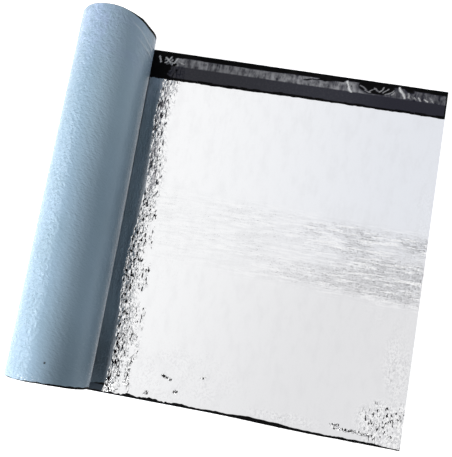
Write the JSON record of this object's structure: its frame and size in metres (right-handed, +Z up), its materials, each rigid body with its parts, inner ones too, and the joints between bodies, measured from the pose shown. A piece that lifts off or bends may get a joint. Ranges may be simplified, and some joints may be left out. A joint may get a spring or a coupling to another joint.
{
  "type": "roll of bitumen flashing tape",
  "caption": "Wide roll of foil-faced self-adhesive bitumen flashing, partly unrolled, with release film on its back and selvedge.",
  "frame": {"origin": "middle of the overall box, on the floor the roll and its tail lie on", "axes": "+Z up; +X along the unrolled tail, away from the roll; the roll's axis runs along Y, with the selvedge on the +Y side"},
  "size_m": [1.0516, 1.0174, 0.221],
  "materials": {
    "bitumen": "black polymer-bitumen compound, satin",
    "aluminium_foil": "bright rolled foil, faintly wrinkled",
    "blue_release_liner": "pale blue siliconised film, glossy and finely crinkled",
    "selvedge_film": "thin clear film over black bitumen, crinkled"
  },
  "bodies": {
    "root": {"membrane": "bitumen", "foil_facing": "aluminium_foil", "release_liner": "blue_release_liner", "selvedge_film": "selvedge_film"}
  },
  "joints": []
}
